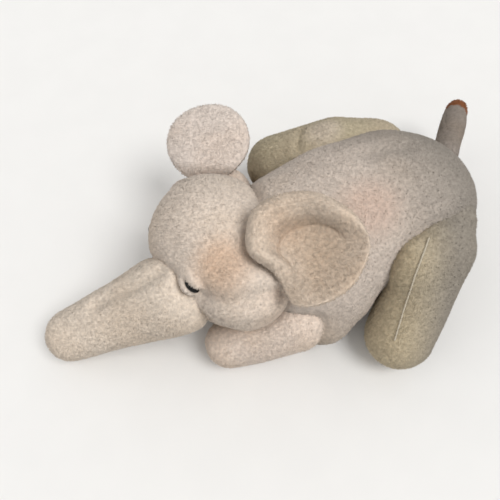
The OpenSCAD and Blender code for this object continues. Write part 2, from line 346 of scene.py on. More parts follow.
class NodeBench:
    """Shorthand for wiring one material's nodes."""

    def __init__(self, name: str) -> None:
        """Starts an empty material with its output."""
        self.material = bpy.data.materials.new(name)
        self.material.use_nodes = True
        self.nodes = self.material.node_tree.nodes
        self.links = self.material.node_tree.links
        self.nodes.clear()
        output = self.nodes.new("ShaderNodeOutputMaterial")
        self.shader = self.nodes.new("ShaderNodeBsdfPrincipled")
        self.links.new(self.shader.outputs["BSDF"], output.inputs["Surface"])
        self.place = self.nodes.new("ShaderNodeTexCoord").outputs["Object"]

    def plug(self, socket: Socket, value: Socket | Colour | float) -> None:
        """Gives an input its value.

        Args:
            socket: The input.
            value: Another socket to link, or a fixed colour or number to set.
        """
        if isinstance(value, Socket):
            self.links.new(value, socket)
        elif isinstance(value, tuple):
            socket.default_value = (*value, 1.0)
        else:
            socket.default_value = value

    def shade(self, name: str, value: Socket | Colour | float) -> None:
        """Gives the shader's input of that name its value."""
        self.plug(self.shader.inputs[name], value)

    def noise(self, scale: float, detail: float = 2.0) -> Socket:
        """Noise on the object's own coordinates, with cells of one over scale metres."""
        node = self.nodes.new("ShaderNodeTexNoise")
        node.inputs["Scale"].default_value = scale
        node.inputs["Detail"].default_value = detail
        self.links.new(self.place, node.inputs["Vector"])
        return node.outputs["Fac"]

    def ranged(self, value: Socket, low: float, high: float,
               to_low: float = 0.0, to_high: float = 1.0) -> Socket:
        """Soft step of a value from one range to another.

        Args:
            value: The value.
            low: Where the step starts.
            high: Where it ends.
            to_low: Result at its start.
            to_high: Result at its end.

        Returns:
            The result.
        """
        node = self.nodes.new("ShaderNodeMapRange")
        node.interpolation_type = "SMOOTHSTEP"
        limits = {"From Min": low, "From Max": high, "To Min": to_low, "To Max": to_high}
        for name, number in limits.items():
            node.inputs[name].default_value = number
        self.links.new(value, node.inputs["Value"])
        return node.outputs["Result"]

    def mixed(self, share: Socket | float, first: Socket | Colour, second: Socket | Colour,
              blend: str = "MIX") -> Socket:
        """Mix of two colours, each a socket or a fixed colour.

        Args:
            share: Share of the second colour.
            first: First colour.
            second: Second colour.
            blend: The way they mix.

        Returns:
            The mixed colour.
        """
        node = self.nodes.new("ShaderNodeMix")
        node.data_type = "RGBA"
        node.blend_type = blend
        self.plug(node.inputs["Factor"], share)
        for name, colour in (("A", first), ("B", second)):
            self.plug(next(s for s in node.inputs if s.name == name and s.type == "RGBA"), colour)
        return next(s for s in node.outputs if s.type == "RGBA")

    def from_place(self, operation: str, fixed: Vector) -> Socket:
        """Number from the object's own coordinates and a fixed vector, such as a distance."""
        node = self.nodes.new("ShaderNodeVectorMath")
        node.operation = operation
        self.links.new(self.place, node.inputs[0])
        node.inputs[1].default_value = fixed
        return node.outputs["Value"]

    def bump(self, height: Socket, depth: float, strength: float) -> None:
        """Gives the shader a bump.

        Args:
            height: Height of the surface, from 0 to 1.
            depth: Length that a height of 1 stands for.
            strength: Share of the bump that shows.
        """
        node = self.nodes.new("ShaderNodeBump")
        node.inputs["Distance"].default_value = depth
        node.inputs["Strength"].default_value = strength
        self.links.new(height, node.inputs["Height"])
        self.shade("Normal", node.outputs["Normal"])


@dataclass(frozen=True)
class PileFabric:
    """Short looped pile: a ground with soft stains, fine nap and a sheen at the edges."""

    name: str
    slot: FabricSlot
    ground: Colour
    stain: Colour
    patches: tuple[Patch, ...] = ()
    fades: tuple[Fade, ...] = ()
    stain_scale: float = 26.0
    stain_range: tuple[float, float] = (0.42, 0.68)
    stain_share: float = 0.7
    nap_scale: float = 620.0
    nap_detail: float = 1.0
    nap_dark: float = 0.86
    nap_light: float = 1.06
    nap_depth: float = 0.0006
    nap_strength: float = 0.35
    roughness: tuple[float, float] = (0.82, 1.0)
    specular: float = 0.15
    sheen: float = 0.06
    sheen_tint: Colour = (1.0, 0.84, 0.68)
    sheen_roughness: float = 0.55

    def material(self) -> bpy.types.Material:
        """Wires the fabric's material."""
        bench = NodeBench(self.name)
        nap = bench.noise(self.nap_scale, self.nap_detail)
        shade = bench.mixed(bench.ranged(nap, *NOISE_RANGE), (self.nap_dark,) * 3, (self.nap_light,) * 3)
        bench.shade("Base Color", bench.mixed(1.0, self.colour(bench), shade, "MULTIPLY"))
        bench.shade("Roughness", bench.ranged(nap, *NOISE_WIDE, *self.roughness))
        bench.shade("Specular IOR Level", self.specular)
        bench.shade("Sheen Weight", self.sheen)
        bench.shade("Sheen Tint", self.sheen_tint)
        bench.shade("Sheen Roughness", self.sheen_roughness)
        bench.bump(nap, self.nap_depth, self.nap_strength)
        return bench.material

    def colour(self, bench: NodeBench) -> Socket:
        """Wires the fabric's colour: the ground, its stains, its fades and its patches.

        Args:
            bench: The material's nodes.

        Returns:
            The colour.
        """
        stains = bench.ranged(bench.noise(self.stain_scale), *self.stain_range, 0.0, self.stain_share)
        colour = bench.mixed(stains, self.ground, self.stain)
        for fade in self.fades:
            way = fade.end - fade.start
            along = bench.from_place("DOT_PRODUCT", way.normalized())
            low = fade.start.dot(way.normalized())
            share = bench.ranged(along, low, low + way.length, 0.0, fade.strength)
            colour = bench.mixed(share, colour, fade.colour)
        for patch in self.patches:
            away = bench.from_place("DISTANCE", patch.centre)
            share = bench.ranged(away, patch.core * patch.radius, patch.radius, patch.strength, 0.0)
            colour = bench.mixed(share, colour, patch.colour)
        return colour


@dataclass(frozen=True)
class Gloss:
    """Smooth finish with faint rubbing marks, as on a moulded button."""

    name: str
    ground: Colour
    roughness: float
    worn: float = 1.8
    specular: float = 0.12
    coat: float = 0.12
    coat_roughness: float = 0.06
    mark_scale: float = 900.0
    mark_depth: float = 0.0001
    mark_strength: float = 0.05

    def material(self) -> bpy.types.Material:
        """Wires the finish's material."""
        bench = NodeBench(self.name)
        marks = bench.noise(self.mark_scale)
        bench.shade("Base Color", self.ground)
        rough = bench.ranged(marks, *NOISE_RANGE, self.roughness, self.roughness * self.worn)
        bench.shade("Roughness", rough)
        bench.shade("Specular IOR Level", self.specular)
        bench.shade("Coat Weight", self.coat)
        bench.shade("Coat Roughness", self.coat_roughness)
        bench.bump(marks, self.mark_depth, self.mark_strength)
        return bench.material


def set_material(obj: Object, finish: PileFabric | Gloss) -> None:
    """Gives a piece one finish, whose material is made once."""
    obj.data.materials.clear()
    obj.data.materials.append(bpy.data.materials.get(finish.name) or finish.material())


@dataclass(frozen=True)
class Ball:
    """One ball of a stuffed form: its middle and its half widths."""

    centre: Vector
    radii: Vector


@dataclass(frozen=True)
class Fold:
    """Crease pressed into a form, along a line seen in the photograph."""

    pixels: tuple[Pixel, ...]
    width: float
    depth: float
    lip: float = 0.35
    lip_widths: float = 2.0


def round_ball(centre: Vector, radius: float) -> Ball:
    """Ball with one radius all round."""
    return Ball(centre, Vector((radius,) * 3))


def balls_between(a: Vector, r_a: float, b: Vector, r_b: float, count: int) -> list[Ball]:
    """Balls that taper from one place to another.

    Args:
        a: First middle.
        r_a: First radius.
        b: Last middle.
        r_b: Last radius.
        count: Number of balls.

    Returns:
        The balls in order.
    """
    shares = [k / (count - 1) for k in range(count)]
    return [round_ball(a.lerp(b, s), r_a + (r_b - r_a) * s) for s in shares]


@dataclass(frozen=True)
class Filling:
    """Wadding that presses a cover outwards, and the cover's own stiffness."""

    pressure: float = 4.0
    stiffness: float = 12.0
    bending: float = 0.4
    quality: int = 4
    frames: int = 20


@dataclass
class StuffedForm:
    """Sewn cover filled with wadding: balls joined to one form, swollen, then creased."""

    name: str
    body: str
    nodes: tuple[str, ...]
    fabric: PileFabric
    folds: tuple[Fold, ...] = ()
    filling: Filling = Filling()
    fill: float = 0.7
    voxel: float = 0.0025
    swell: float = 0.0015
    relax: int = 6
    relax_share: float = 0.5
    floor: float = 0.0012
    lump: float = 0.0007
    lump_size: float = 0.020
    obj: Object | None = None

    def balls(self) -> list[Ball]:
        """Balls that make up the form."""
        return []

    def build(self) -> Object:
        """Makes the cover.

        Returns:
            The cover's object, in place.
        """
        self.obj = new_object(self.name, self.joined())
        self.remesh()
        self.inflate()
        subdivision = self.obj.modifiers.new("finer", "SUBSURF")
        subdivision.levels = subdivision.render_levels = 1
        apply_modifiers(self.obj)
        self.press()
        self.knead()
        self.sculpt()
        for fold in self.folds:
            self.crease(fold)
        self.rest_on_floor()
        shade_smooth(self.obj.data)
        return self.obj

    def joined(self) -> Mesh:
        """All balls in one mesh, still crossing each other."""
        shell = bmesh.new()
        for ball in self.balls():
            place = Matrix.Translation(ball.centre) @ Matrix.Diagonal(ball.radii).to_4x4()
            bmesh.ops.create_icosphere(shell, subdivisions=BALL_FINENESS, radius=1.0, matrix=place)
        return mesh_of(self.name, shell)

    def remesh(self) -> None:
        """Joins the crossing balls to one even skin and relaxes it."""
        skin = self.obj.modifiers.new("skin", "REMESH")
        skin.mode = "VOXEL"
        skin.voxel_size = self.voxel
        smooth = self.obj.modifiers.new("relax", "SMOOTH")
        smooth.factor = self.relax_share
        smooth.iterations = self.relax
        apply_modifiers(self.obj)

    def inflate(self) -> None:
        """Swells the cover under the pressure of its filling, by at most the swell."""
        before = points_of(self.obj.data)
        cloth = self.obj.modifiers.new("filling", "CLOTH")
        settings = cloth.settings
        settings.quality = self.filling.quality
        settings.use_pressure = True
        settings.uniform_pressure_force = self.filling.pressure
        settings.tension_stiffness = self.filling.stiffness
        settings.compression_stiffness = self.filling.stiffness
        settings.bending_stiffness = self.filling.bending
        settings.effector_weights.gravity = 0.0
        cloth.collision_settings.use_collision = False
        cloth.point_cache.frame_start = 1
        cloth.point_cache.frame_end = self.filling.frames
        for step in range(1, self.filling.frames + 1):
            bpy.context.scene.frame_set(step)
        apply_modifiers(self.obj)
        bpy.context.scene.frame_set(1)
        moved = points_of(self.obj.data) - before
        length = np.linalg.norm(moved, axis=1, keepdims=True)
        moved *= np.minimum(1.0, self.swell / np.maximum(length, SMALLEST))
        set_points(self.obj.data, before + moved)

    def press(self) -> None:
        """Flattens the form softly where it lies on the floor."""
        points = points_of(self.obj.data)
        depth = self.floor - points[:, 2]
        soft = PRESS_ROUND
        eased = (depth + soft) ** 2 / (4 * soft)
        points[:, 2] += np.where(depth >= soft, depth, np.where(depth > -soft, eased, 0))
        set_points(self.obj.data, points)

    def knead(self) -> None:
        """Gives the filling its soft lumps."""
        points = points_of(self.obj.data)
        shift = np.array([noise.noise(Vector(p) / self.lump_size) for p in points])
        set_points(self.obj.data, points + normals_of(self.obj.data) * (self.lump * shift)[:, None])

    def sculpt(self) -> None:
        """Shapes the form further; a plain form needs nothing."""

    def crease(self, fold: Fold) -> None:
        """Presses a crease into the form, with soft lips beside it.

        Args:
            fold: The crease.
        """
        line = CAMERA.lay_on(self.obj, fold.pixels)
        if len(line) < 2:
            LOG.warning("%s: a fold misses the form", self.name)
            return
        points = points_of(self.obj.data)
        away = distance_to_line(points, line)
        groove = np.exp(-((away / fold.width) ** 2))
        lips = np.exp(-(((away - fold.lip_widths * fold.width) / fold.width) ** 2))
        shift = fold.depth * (groove - fold.lip * lips)
        set_points(self.obj.data, points - normals_of(self.obj.data) * shift[:, None])

    def rest_on_floor(self) -> None:
        """Keeps every point on or above the floor."""
        points = points_of(self.obj.data)
        points[:, 2] = np.maximum(points[:, 2], self.floor)
        set_points(self.obj.data, points)

    def draw_in(self, others: Iterable["StuffedForm"]) -> None:
        """Pulls the cover in along the lines where it is sewn to its neighbours.

        Args:
            others: The neighbours.
        """
        points, out = points_of(self.obj.data), normals_of(self.obj.data)
        for other in others:
            depth = depth_in(points, other.obj)
            pull = SEAM_PULL * np.exp(-((depth / SEAM_PULL_WIDTH) ** 2))
            points -= out * pull[:, None]
        set_points(self.obj.data, points)
        self.rest_on_floor()

    def dress(self) -> None:
        """Gives the cover its fabric and ties it to its body."""
        set_material(self.obj, self.fabric)
        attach(self.obj, self.body)
        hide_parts(*self.nodes)

    def grow_pile(self, others: Iterable["StuffedForm"], pile: "Pile", seed: int) -> Object:
        """Grows the short pile on the cover, where no neighbour hides it.

        Args:
            others: The neighbours.
            pile: The tufts.
            seed: Start of the random draws.

        Returns:
            The pile's object.
        """
        points = points_of(self.obj.data)
        shown = np.ones(len(points))
        for other in others:
            shown *= depth_in(points, other.obj) < PILE_HIDDEN
        shown *= smoothstep(points[:, 2], PILE_NONE_BELOW, PILE_FULL_ABOVE)
        grow = self.obj.data.attributes.new(GROW, "FLOAT", "POINT")
        grow.data.foreach_set("value", shown.astype(np.float32))
        tufts = pile.scatter(self.obj, f"{self.name}_pile".replace("_cover", ""), seed)
        self.obj.data.attributes.remove(self.obj.data.attributes[GROW])
        set_material(tufts, self.fabric)
        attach(tufts, self.body)
        return tufts


def depth_in(points: np.ndarray, obj: Object) -> np.ndarray:
    """How deep each point lies inside a closed piece, below zero outside.

    Args:
        points: One row for each point.
        obj: The closed piece.

    Returns:
        The depths, or a large negative number far from the piece.
    """
    tree = BVHTree.FromPolygons(*polygons_of(obj.data))
    low, high = points_of(obj.data).min(0) - FAR, points_of(obj.data).max(0) + FAR
    near = np.all((points > low) & (points < high), axis=1)
    depths = np.full(len(points), -FAR)
    for i in np.nonzero(near)[0]:
        place = Vector(points[i])
        spot, out, _, away = tree.find_nearest(place)
        depths[i] = away if (place - spot).dot(out) < 0 and is_inside(tree, place) else -away
    return depths


def is_inside(tree: BVHTree, place: Vector) -> bool:
    """Whether a place lies inside a closed piece, from the number of faces above it."""
    faces = 0
    spot = tree.ray_cast(place, UP)[0]
    while spot is not None:
        faces += 1
        spot = tree.ray_cast(spot + UP * SMALLEST, UP)[0]
    return faces % 2 == 1


@dataclass(frozen=True)
class Pile:
    """Short tufts of a looped pile: small closed cones that lean at random."""

    length: float = 0.0011
    radius: float = 0.00050
    spacing: float = 0.00053
    lean: float = 0.40
    droop: float = 0.15
    stand: float = 0.3
    crowd: float = 1.6
    smallest: float = 0.7
    largest: float = 1.25

    def tuft(self) -> Object:
        """One tuft, standing at the origin."""
        shape = bmesh.new()
        place = Matrix.Translation((0, 0, self.stand * self.length))
        bmesh.ops.create_cone(shape, cap_ends=True, cap_tris=False, segments=TUFT_SIDES,
                              radius1=self.radius, radius2=0.0, depth=self.length, matrix=place)
        return new_object("tuft", mesh_of("tuft", shape))

    def scatter(self, cover: Object, name: str, seed: int) -> Object:
        """Sets tufts all over a cover.

        Args:
            cover: What they grow on; its grow attribute says where.
            name: Name of the pile.
            seed: Start of the random draws.

        Returns:
            The pile as one mesh.
        """
        tuft = self.tuft()
        group = self.node_group(tuft, seed)
        holder = new_object(name, cover.data.copy())
        holder.modifiers.new("pile", "NODES").node_group = group
        apply_modifiers(holder)
        bpy.data.objects.remove(tuft)
        bpy.data.node_groups.remove(group)
        shade_smooth(holder.data)
        lay_pile(holder.data)
        map_pile(holder.data)
        return holder

    def node_group(self, tuft: Object, seed: int) -> bpy.types.NodeTree:
        """Nodes that scatter the tuft over a mesh.

        Args:
            tuft: What is scattered.
            seed: Start of the random draws.

        Returns:
            The nodes.
        """
        group = bpy.data.node_groups.new("pile", "GeometryNodeTree")
        for way in ("INPUT", "OUTPUT"):
            group.interface.new_socket("Geometry", in_out=way, socket_type="NodeSocketGeometry")
        nodes, links = group.nodes, group.links
        source, result = nodes.new("NodeGroupInput"), nodes.new("NodeGroupOutput")
        grow = nodes.new("GeometryNodeInputNamedAttribute")
        grow.data_type = "FLOAT"
        grow.inputs["Name"].default_value = GROW
        spots = nodes.new("GeometryNodeDistributePointsOnFaces")
        spots.distribute_method = "POISSON"
        spots.inputs["Distance Min"].default_value = self.spacing
        spots.inputs["Density Max"].default_value = self.crowd / self.spacing ** 2
        spots.inputs["Seed"].default_value = seed
        links.new(source.outputs["Geometry"], spots.inputs["Mesh"])
        links.new(grow.outputs["Attribute"], spots.inputs["Density Factor"])
        keep = nodes.new("GeometryNodeStoreNamedAttribute")
        keep.data_type = "FLOAT_VECTOR"
        keep.inputs["Name"].default_value = LIE
        links.new(spots.outputs["Points"], keep.inputs["Geometry"])
        kept = next(s for s in keep.inputs if s.name == "Value" and s.type == "VECTOR")
        links.new(spots.outputs["Normal"], kept)
        swing = nodes.new("FunctionNodeRandomValue")
        swing.data_type = "FLOAT_VECTOR"
        swing.inputs["Min"].default_value = (-self.lean, -self.lean, -self.lean - self.droop)
        swing.inputs["Max"].default_value = (self.lean, self.lean, self.lean - self.droop)
        swing.inputs["Seed"].default_value = seed + 1
        stand = nodes.new("ShaderNodeVectorMath")
        links.new(spots.outputs["Normal"], stand.inputs[0])
        links.new(swing.outputs["Value"], stand.inputs[1])
        align = nodes.new("FunctionNodeAlignRotationToVector")
        align.axis = "Z"
        links.new(stand.outputs["Vector"], align.inputs["Vector"])
        size = nodes.new("FunctionNodeRandomValue")
        limits = [s for s in size.inputs if s.name in ("Min", "Max") and s.type == "VALUE"]
        for limit, value in zip(limits, (self.smallest, self.largest)):
            limit.default_value = value
        size.inputs["Seed"].default_value = seed + 2
        shape = nodes.new("GeometryNodeObjectInfo")
        shape.inputs["Object"].default_value = tuft
        place = nodes.new("GeometryNodeInstanceOnPoints")
        links.new(keep.outputs["Geometry"], place.inputs["Points"])
        links.new(shape.outputs["Geometry"], place.inputs["Instance"])
        links.new(align.outputs["Rotation"], place.inputs["Rotation"])
        drawn = next(s for s in size.outputs if s.type == "VALUE" and s.enabled)
        links.new(drawn, place.inputs["Scale"])
        realize = nodes.new("GeometryNodeRealizeInstances")
        links.new(place.outputs["Instances"], realize.inputs["Geometry"])
        links.new(realize.outputs["Geometry"], result.inputs["Geometry"])
        return group


def lay_pile(mesh: Mesh) -> None:
    """Shades each tuft mostly as the cover beneath it, so that the pile looks soft.

    Args:
        mesh: The pile, with the direction out of the cover kept on its vertices.
    """
    kept = mesh.attributes[LIE]
    soft = LIE_SHARE * rows_of(kept.data, "vector") + (1 - LIE_SHARE) * normals_of(mesh)
    soft /= np.maximum(np.linalg.norm(soft, axis=1, keepdims=True), SMALLEST)
    mesh.attributes.remove(kept)
    mesh.normals_split_custom_set_from_vertices(soft.tolist())


def map_pile(mesh: Mesh) -> None:
    """Gives each tuft of a pile a small place of its own on a map of six sides.

    Args:
        mesh: The pile, tuft after tuft.
    """
    points = points_of(mesh).reshape(-1, TUFT_POINTS, 3)
    rows = np.arange(len(points))
    middle = points.mean(1)
    tip = np.argmax(np.linalg.norm(points - middle[:, None], axis=2), axis=1)
    out = points[rows, tip] - middle
    axis = np.argmax(np.abs(out), axis=1)
    low = points.min((0, 1))
    flat = (points - low) / ((points.max((0, 1)) - low).max() * MAP_MARGIN)
    u = (flat[rows, :, (axis + 1) % 3] + axis[:, None]) / 3
    v = (flat[rows, :, (axis + 2) % 3] + (out[rows, axis] < 0)[:, None]) / 2
    corner = np.zeros(len(mesh.loops), np.int32)
    mesh.loops.foreach_get("vertex_index", corner)
    places = np.stack([u.ravel()[corner], v.ravel()[corner]], 1)
    mesh.uv_layers.new(name="OFBake").data.foreach_set("uv", places.astype(np.float32).ravel())


@dataclass
class Torso(StuffedForm):
    """Torso lying on its belly, full at the breast, the left shoulder and the seat."""

    chest: Vector = Vector((-0.022, 0.002, 0.036))
    belly: Vector = Vector((0.001, 0.003, 0.036))
    rump: Vector = Vector((0.026, 0.001, 0.036))
    breast: Vector = Vector((-0.015, -0.011, 0.029))
    shoulder: Vector = Vector((-0.0235, -0.0225, 0.0215))
    seat: Vector = Vector((0.032, -0.003, 0.037))
    chest_r: float = 0.0365
    belly_r: float = 0.038
    rump_r: float = 0.0375
    breast_r: float = 0.0290
    shoulder_r: float = 0.0200
    seat_r: float = 0.036

    def balls(self) -> list[Ball]:
        """Chest to rump, and the three places where the filling has gathered."""
        front = balls_between(self.chest, self.chest_r, self.belly, self.belly_r, 5)
        rear = balls_between(self.belly, self.belly_r, self.rump, self.rump_r, 5)
        fuller = ((self.breast, self.breast_r), (self.shoulder, self.shoulder_r), (self.seat, self.seat_r))
        return front + rear + [round_ball(centre, radius) for centre, radius in fuller]


@dataclass
class Head(StuffedForm):
    """Head, wider than long, with full cheeks and the eyes sunk between soft lids."""

    skull: Vector = Vector((0.0302, 0.0355, 0.0325))
    skull_shift: Vector = Vector((0.001, -0.0005, 0.0))
    left_cheek: Vector = Vector((0.0015, -0.0250, 0.0095))
    left_jaw: Vector = Vector((0.0045, -0.0175, -0.0090))
    right_cheek: Vector = Vector((-0.002, 0.016, -0.008))
    left_cheek_r: float = 0.0190
    jaw_r: float = 0.0205
    ear_seat_r: float = 0.0080
    ear_seat_depth: float = 0.0075
    ear_seat_half: float = 0.0070
    lid_off: float = 0.0026
    lid_width: float = 0.0017
    lid_length: float = 0.0050
    socket: tuple[float, float] = (0.0045, 0.009)
    socket_reach: float = 0.012
    socket_depth: float = 0.0008

    def ear_seat(self, joint: str) -> list[Ball]:
        """Low ridge that an ear's root is sewn to.

        Args:
            joint: The ear's joint.

        Returns:
            The balls of the ridge.
        """
        root = joint_place(joint)
        along = joint_axis(joint) * self.ear_seat_half
        inside = root - (root - joint_place("neck_roll")).normalized() * self.ear_seat_depth
        return balls_between(inside - along, self.ear_seat_r, inside + along, self.ear_seat_r, 5)

    def balls(self) -> list[Ball]:
        """Skull, the left cheek down to the jaw, the right cheek and the seat of the left ear."""
        middle = joint_place("neck_roll")
        cheek, jaw = middle + self.left_cheek, middle + self.left_jaw
        left = balls_between(cheek, self.left_cheek_r, jaw, self.jaw_r, 5)
        right = [round_ball(middle + self.right_cheek, self.jaw_r)]
        return [Ball(middle + self.skull_shift, self.skull)] + left + right + self.ear_seat("left_ear_root")

    def sculpt(self) -> None:
        """Sets the cover against each eye and raises a lid on both sides of its slit."""
        for eye in EYES:
            self.lids(eye)

    def lids(self, eye: "EyeButton") -> None:
        """Shapes the cover around one eye.

        Args:
            eye: The eye's button.
        """
        points = points_of(self.obj.data)
        out = np.array(eye.out())
        away = points - np.array(eye.place())
        up = away @ out
        run = (away - up[:, None] * out) @ np.array(eye.along())
        across = away @ np.array(eye.out().cross(eye.slit).normalized())
        near = (1 - smoothstep(np.hypot(run, across), *self.socket)) * (np.abs(up) < self.socket_reach)
        lids = np.exp(-(((np.abs(across) - self.lid_off) / self.lid_width) ** 2))
        wanted = -self.socket_depth + eye.lid * lids * np.exp(-((run / self.lid_length) ** 2))
        points += np.outer(near * (wanted - up), out)
        set_points(self.obj.data, points)


@dataclass(frozen=True)
class EyeButton:
    """Black button sewn close against the head, of which the part between the lids is made."""

    name: str
    node: str
    slit: Vector
    seat: float
    lid: float
    long_r: float = 0.0036
    short_r: float = 0.0018
    height: float = 0.0026

    def out(self) -> Vector:
        """Direction out of the head at the eye."""
        return (middle_of(self.node) - joint_place("neck_roll")).normalized()

    def along(self) -> Vector:
        """Direction of the slit, level with the face of the head."""
        out = self.out()
        return (self.slit - out * self.slit.dot(out)).normalized()

    def place(self) -> Vector:
        """Where the button sits on the head."""
        return joint_place("neck_roll") + self.out() * self.seat

    def build(self) -> Object:
        """Makes the button and ties it to the head.

        Returns:
            The button's object.
        """
        out, along = self.out(), self.along()
        turn = Matrix((along, out.cross(along), out)).transposed().to_4x4()
        size = Matrix.Diagonal((self.long_r, self.short_r, self.height, 1.0))
        place = Matrix.Translation(self.place()) @ turn @ size
        shape = ringed_ball(BUTTON_SEGMENTS, BUTTON_RINGS, place)
        obj = new_object(self.name, mesh_of(self.name, shape))
        set_material(obj, EYE)
        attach(obj, "head")
        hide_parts(self.node)
        return obj


@dataclass
class Trunk(StuffedForm):
    """Trunk lying on the floor ahead of the head."""

    tip: Vector = Vector((-0.1333, 0.0221, 0.0119))
    half_way: float = 0.49
    root_r: float = 0.0190
    half_way_r: float = 0.0152
    tip_r: float = 0.0125
    brow: Vector = Vector((0.0045, -0.0035, 0.0070))
    brow_r: float = 0.0190

    def balls(self) -> list[Ball]:
        """Root to rounded tip, with the brow that reaches up the face to the eyes."""
        root = joint_place("trunk_root")
        middle = root.lerp(self.tip, self.half_way)
        upper = balls_between(root, self.root_r, middle, self.half_way_r, 5)
        brow = balls_between(root + self.brow, self.brow_r, middle, self.half_way_r, 6)
        return brow + upper + balls_between(middle, self.half_way_r, self.tip, self.tip_r, 6)


@dataclass
class Leg(StuffedForm):
    """Leg from its sewn root to its rounded foot."""

    joint: str = ""
    foot: Vector = Vector()
    root_r: float = 0.0143
    swell_r: float = 0.0124
    foot_r: float = 0.0119
    swell_at: float = 0.4
    fullness: tuple[Ball, ...] = ()

    def balls(self) -> list[Ball]:
        """Root, swell and foot, and where the filling has gathered."""
        root = joint_place(self.joint)
        swell = root.lerp(self.foot, self.swell_at)
        found = balls_between(root, self.root_r, swell, self.swell_r, 4)
        found += balls_between(swell, self.swell_r, self.foot, self.foot_r, 6)
        return found + list(self.fullness)


@dataclass
class Tail(StuffedForm):
    """Stretch of the tail between two places on its line."""

    end: Vector = Vector((0.1000, 0.0355, 0.0326))
    first: float = 0.0
    last: float = 1.0
    first_r: float = 0.0063
    last_r: float = 0.0060

    def balls(self) -> list[Ball]:
        """Even balls along the stretch."""
        root = joint_place("tail_root")
        return balls_between(root.lerp(self.end, self.first), self.first_r,
                             root.lerp(self.end, self.last), self.last_r, 12)


@dataclass
class Ear(StuffedForm):
    """Ear of two layers sewn at the edge: a hollow disc whose rim is rolled forward."""

    joint: str = ""
    rim: tuple[tuple[float, float], ...] = ()
    hollow_r: float = 0.070
    thick: float = 0.0052
    puff: float = 0.36
    dish: float = 0.0
    dish_power: float = 2.0
    dish_behind: float = 0.5
    roll: float = 0.0
    roll_edge: float = 0.35
    roll_from: float = 28.0
    roll_to: float = 205.0
    roll_ease: float = 22.0
    band: float = 0.36
    band_more: float = 0.17
    band_at: float = 115.0
    band_spread: float = 60.0
    pinch: float = 0.0
    pinch_width: float = 0.05
    shift: float = 0.0
    tuck: float = 0.003
    tuck_span: tuple[float, float] = (-0.002, 0.006)
    low_tuck: float = 0.0
    low_span: tuple[float, float] = (0.002, 0.016)
    low_reach: tuple[float, float] = (0.006, 0.024)

    def local_axes(self) -> Matrix:
        """Out along the ear, along its root and out of its hollow, as columns."""
        along = -joint_axis(self.joint)
        out = middle_of(self.nodes[0]) - joint_place(self.joint)
        out = (out - along * out.dot(along)).normalized()
        return Matrix((out, along, out.cross(along))).transposed()

    def build(self) -> Object:
        """Makes the ear's cover.

        Returns:
            The cover's object, in place.
        """
        disc = ringed_ball(EAR_SEGMENTS, EAR_RINGS, Matrix())
        self.obj = new_object(self.name, mesh_of(self.name, disc))
        set_points(self.obj.data, self.shaped(points_of(self.obj.data)))
        self.knead()
        return self.obj

    def shaped(self, unit: np.ndarray) -> np.ndarray:
        """Places of the ear's points from those of a ball of radius one.

        Args:
            unit: Points of the ball.

        Returns:
            The points in the part's frame.
        """
        rho = np.clip(np.hypot(unit[:, 0], unit[:, 1]), 0, 1)
        turn = np.degrees(np.arctan2(unit[:, 1], unit[:, 0])) % 360
        rolled = smoothstep(turn, self.roll_from - self.roll_ease, self.roll_from + self.roll_ease)
        rolled *= 1 - smoothstep(turn, self.roll_to - self.roll_ease, self.roll_to + self.roll_ease)
        crease = 1 - self.band - self.band_more * np.exp(-(((turn - self.band_at) / self.band_spread) ** 2))
        s = np.clip((rho - crease) / (1 - crease), 0, 1)
        half = self.thick / 2 * (1 - rho ** 2) ** self.puff
        reach = rho * self.rim_radius(turn)
        edge = 1 - (1 - crease) * rolled
        sink = self.dish * (1 - np.clip(rho / edge, 0, 1) ** (self.dish_power * (1 + rolled)))
        tube = np.sqrt(4 * s * (1 - s)) + self.roll_edge * s
        pinch = self.pinch * rolled * np.exp(-(((rho - crease) / self.pinch_width) ** 2))
        front = half - sink - pinch + self.roll * rolled * tube
        back = -half - self.dish_behind * sink + self.roll_edge * self.roll * rolled * s ** 2
        axes = np.array(self.local_axes())
        root = np.array(joint_place(self.joint))
        centre_x = ((np.array(middle_of(self.nodes[0])) - root) @ axes)[0]
        x = centre_x + self.shift + reach * np.cos(np.radians(turn))
        y = reach * np.sin(np.radians(turn))
        rise = reach ** 2 / (2 * self.hollow_r)
        z = rise + np.where(unit[:, 2] > 0, front, back) - centre_x ** 2 / (2 * self.hollow_r)
        z -= self.tuck * (1 - smoothstep(x, *self.tuck_span))
        z -= self.low_tuck * smoothstep(-y, *self.low_span) * (1 - smoothstep(x, *self.low_reach))
        return root + np.stack([x, y, z], 1) @ axes.T

    def rim_radius(self, turn: np.ndarray) -> np.ndarray:
        """Radius of the ear's edge at each angle, eased between the rim's corners."""
        angles = np.array([a for a, _ in self.rim])
        radii = np.array([r for _, r in self.rim])
        spread = np.arange(-RIM_EASE, RIM_EASE + 1, RIM_STEP)
        weight = np.cos(spread / RIM_EASE * math.pi / 2) ** 2
        total = sum(w * np.interp(turn + d, angles, radii, period=360) for d, w in zip(spread, weight))
        return total / weight.sum()


